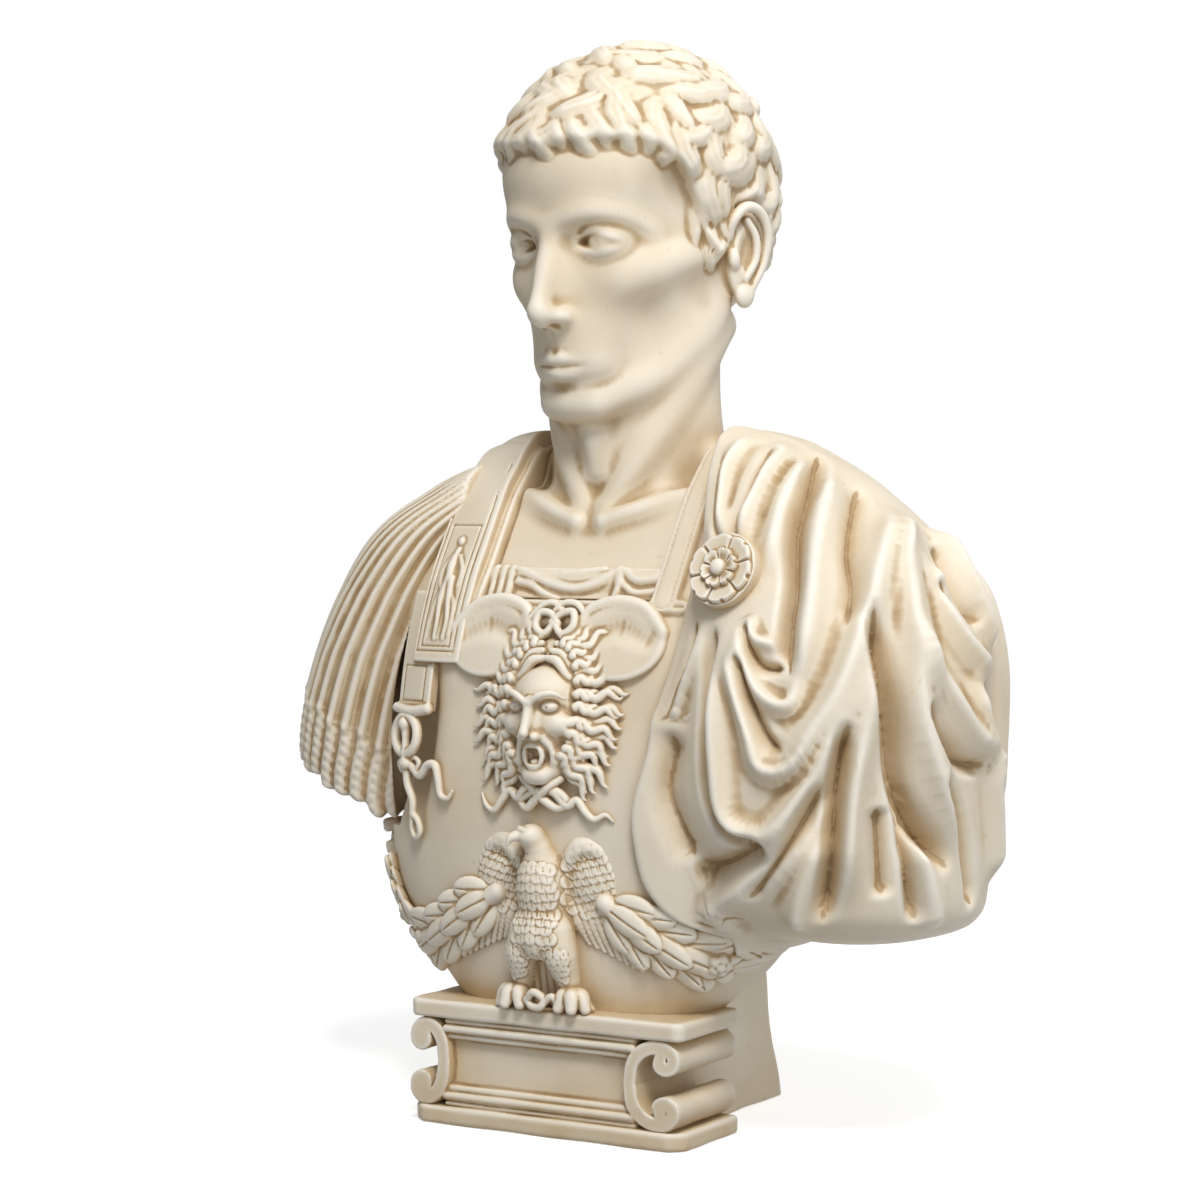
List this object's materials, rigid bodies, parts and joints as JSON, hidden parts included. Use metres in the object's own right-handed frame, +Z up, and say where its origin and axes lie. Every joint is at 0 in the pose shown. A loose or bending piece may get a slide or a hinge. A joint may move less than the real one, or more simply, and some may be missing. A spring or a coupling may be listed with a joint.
{
  "type": "marble bust",
  "caption": "Carved marble portrait bust in parade armour with a cloak, standing on a scrolled plinth with a rear support pillar.",
  "frame": {"origin": "middle of the footprint of plinth and pillar, on the surface that the bust stands on", "axes": "+Z up; the figure faces -Y; +X is the figure's own left, the side with the cloak"},
  "size_m": [0.5035, 0.2437, 0.7],
  "materials": {
    "marble": "honed ivory marble with a warm patina in the hollows",
    "dowel_steel": "plain stainless bar"
  },
  "bodies": {
    "root": {"plinth_bottom_slab": "marble", "plinth_cartouche": "marble", "plinth_top_slab": "marble", "rear_pillar": "marble", "cuirass": "marble", "head_and_neck": "marble", "right_shoulder_strap": "marble", "tunic_neckband": "marble", "winged_mask": "marble", "serpent_knot": "marble", "strap_tie": "marble", "eagle": "marble", "garland_right": "marble", "garland_left": "marble", "right_arm_lappets": "marble", "left_shoulder_drapery": "marble", "rosette_brooch": "marble", "neck_dowel": "dowel_steel", "right_shoulder_pins": "dowel_steel", "left_shoulder_pins": "dowel_steel", "pillar_pins": "dowel_steel", "plinth_rods": "dowel_steel", "plinth_cramps": "dowel_steel", "mask_pins": "dowel_steel", "eagle_pins": "dowel_steel"}
  },
  "joints": []
}
